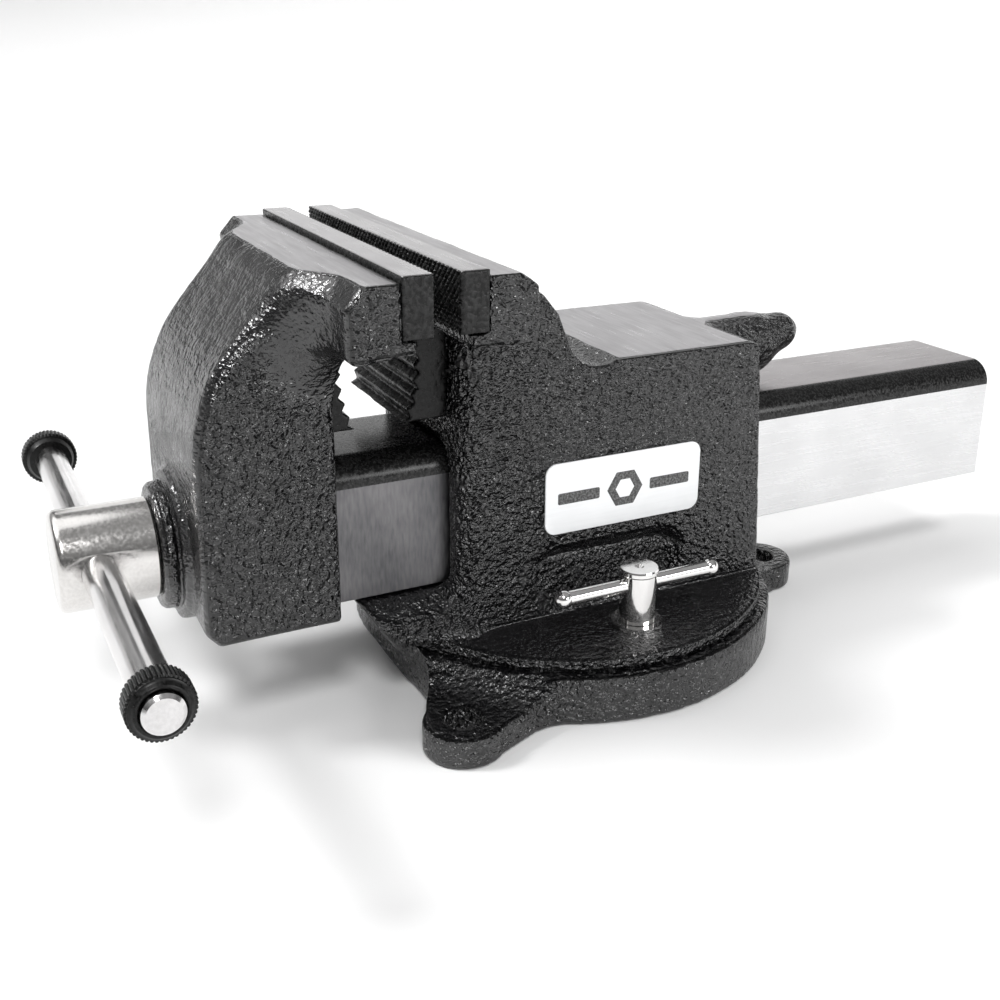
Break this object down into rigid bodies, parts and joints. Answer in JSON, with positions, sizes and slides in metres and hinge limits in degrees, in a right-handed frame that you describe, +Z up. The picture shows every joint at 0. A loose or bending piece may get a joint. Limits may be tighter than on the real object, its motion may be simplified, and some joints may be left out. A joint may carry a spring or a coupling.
{
  "type": "bench vise",
  "caption": "Cast swivel-base bench vise with a channel slide, serrated jaw plates, pipe jaws, an anvil with a horn, a sliding T-handle and bar-operated swivel locks.",
  "frame": {"origin": "centre of the swivel base's bottom face, on the swivel axis", "axes": "+Z up along the swivel axis; +Y along the slide towards its free end, so the handle is at the -Y end; +X completes the right hand"},
  "size_m": [0.3523, 0.5445, 0.2249],
  "materials": {
    "black_cast_enamel": "glossy hammered black enamel on a rough casting",
    "jaw_plate_steel": "dark hardened steel, ground on top, serrated face",
    "pipe_jaw_steel": "black oxide, toothed",
    "screw_steel": "bright turned steel",
    "lock_chrome": "polished plating",
    "knob_black": "matte black, ribbed edge",
    "fastener_black": "black oxide",
    "nut_iron": "machined cast iron",
    "plate_white": "satin white metal"
  },
  "bodies": {
    "base": {"swivel_base": "black_cast_enamel", "swivel_pivot_pin": "fastener_black"},
    "upper": {"fixed_jaw_body": "black_cast_enamel", "rear_jaw_plate": "jaw_plate_steel", "rear_jaw_screws": "fastener_black", "rear_pipe_jaw": "pipe_jaw_steel", "rear_pipe_jaw_pins": "fastener_black", "screw_nut": "nut_iron", "nut_bolt": "fastener_black", "lock_t_nut_right": "nut_iron", "lock_t_nut_left": "nut_iron", "lock_washer_right": "lock_chrome", "lock_washer_left": "lock_chrome", "nameplate": "plate_white"},
    "jaw": {"sliding_jaw": "black_cast_enamel", "front_jaw_plate": "jaw_plate_steel", "front_jaw_screws": "fastener_black", "front_pipe_jaw": "pipe_jaw_steel", "front_pipe_jaw_pins": "fastener_black"},
    "screw": {"lead_screw": "screw_steel", "disc_springs": "fastener_black", "thrust_washer": "fastener_black", "retaining_collar": "nut_iron", "collar_pin": "fastener_black"},
    "handle": {"handle_bar": "screw_steel", "handle_knob_right": "knob_black", "handle_knob_left": "knob_black"},
    "lock_right": {"lock_bolt_right": "lock_chrome"},
    "lock_left": {"lock_bolt_left": "lock_chrome"},
    "lock_rod_right": {"lock_bar_right": "lock_chrome"},
    "lock_rod_left": {"lock_bar_left": "lock_chrome"}
  },
  "joints": [
    {"name": "swivel", "type": "hinge", "parent": "base", "child": "upper", "pos_m": [0, 0, 0.0246], "axis": [0, 0, 1], "continuous": true},
    {"name": "jaw_slide", "type": "slide", "parent": "upper", "child": "jaw", "axis": [0, -1, 0], "range_m": [-0.0094, 0.18]},
    {"name": "screw_turn", "type": "hinge", "parent": "jaw", "child": "screw", "pos_m": [0, -0.248, 0.0844], "axis": [0, -1, 0], "range_deg": [-566, 10802]},
    {"name": "handle_slide", "type": "slide", "parent": "screw", "child": "handle", "axis": [0.9988, 0, 0.0488], "range_m": [-0.12, 0.14]},
    {"name": "lock_turn_right", "type": "hinge", "parent": "upper", "child": "lock_right", "pos_m": [0.0817, 0, 0.0548], "axis": [0, 0, 1], "range_deg": [-17, 17]},
    {"name": "lock_bar_slide_right", "type": "slide", "parent": "lock_right", "child": "lock_rod_right", "axis": [0, 1, 0], "range_m": [-0.03, 0.03]},
    {"name": "lock_turn_left", "type": "hinge", "parent": "upper", "child": "lock_left", "pos_m": [-0.0817, 0, 0.0548], "axis": [0, 0, 1], "range_deg": [-17, 17]},
    {"name": "lock_bar_slide_left", "type": "slide", "parent": "lock_left", "child": "lock_rod_left", "axis": [0, 1, 0], "range_m": [-0.03, 0.03]}
  ],
  "couplings": [
    {"joint": "screw_turn", "follows": "jaw_slide", "rad_per_m": 1047.2}
  ]
}
